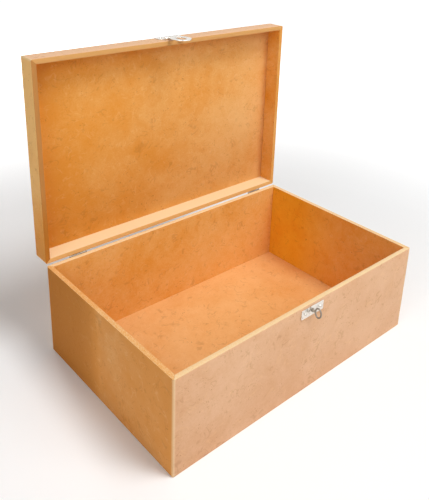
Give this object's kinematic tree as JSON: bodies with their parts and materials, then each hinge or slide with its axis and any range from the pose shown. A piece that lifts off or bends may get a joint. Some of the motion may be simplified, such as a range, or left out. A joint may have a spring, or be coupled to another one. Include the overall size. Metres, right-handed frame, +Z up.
{
  "type": "hinged box",
  "caption": "Raw MDF keepsake box with mitred walls, a hinged lid on stop hinges, and a slotted hasp that drops over a turn ring on the front.",
  "frame": {"origin": "centre of the box's base, on the surface it stands on", "axes": "+Z up, +X to the right along the box's length, -Y out of the front with the hasp, lid standing open at the back"},
  "size_m": [0.4, 0.3006, 0.3863],
  "materials": {
    "mdf": "raw, matt, finely mottled fibreboard",
    "nickel": "thin nickel plate on pressed sheet steel"
  },
  "bodies": {
    "box": {"floor_panel": "mdf", "front_wall": "mdf", "right_wall": "mdf", "back_wall": "mdf", "left_wall": "mdf", "hinge_box_leaf_left": "nickel", "hinge_pin_left": "nickel", "hinge_box_left_screw_1": "nickel", "hinge_box_left_screw_2": "nickel", "hinge_box_leaf_right": "nickel", "hinge_pin_right": "nickel", "hinge_box_right_screw_1": "nickel", "hinge_box_right_screw_2": "nickel", "staple_plate": "nickel", "staple_screw_1": "nickel", "staple_screw_2": "nickel"},
    "lid": {"lid_panel": "mdf", "lid_front_rail": "mdf", "lid_right_rail": "mdf", "lid_back_rail": "mdf", "lid_left_rail": "mdf", "hinge_lid_leaf_left": "nickel", "hinge_lid_left_screw_1": "nickel", "hinge_lid_left_screw_2": "nickel", "hinge_lid_leaf_right": "nickel", "hinge_lid_right_screw_1": "nickel", "hinge_lid_right_screw_2": "nickel", "hasp_plate": "nickel", "hasp_pin": "nickel", "hasp_screw_1": "nickel", "hasp_screw_2": "nickel"},
    "hasp": {"hasp_flap": "nickel"},
    "staple": {"turn_ring": "nickel"}
  },
  "joints": [
    {"name": "lid_hinge", "type": "hinge", "parent": "box", "child": "lid", "pos_m": [0, 0.12985, 0.1237], "axis": [1, 0, 0], "range_deg": [0, 90.3]},
    {"name": "hasp_hinge", "type": "hinge", "parent": "lid", "child": "hasp", "pos_m": [0, 0.13941, 0.38415], "axis": [-1, 0, 0], "range_deg": [0, 150]},
    {"name": "ring_turn", "type": "hinge", "parent": "box", "child": "staple", "pos_m": [0, -0.1285, 0.1142], "axis": [0, 1, 0], "continuous": true}
  ]
}
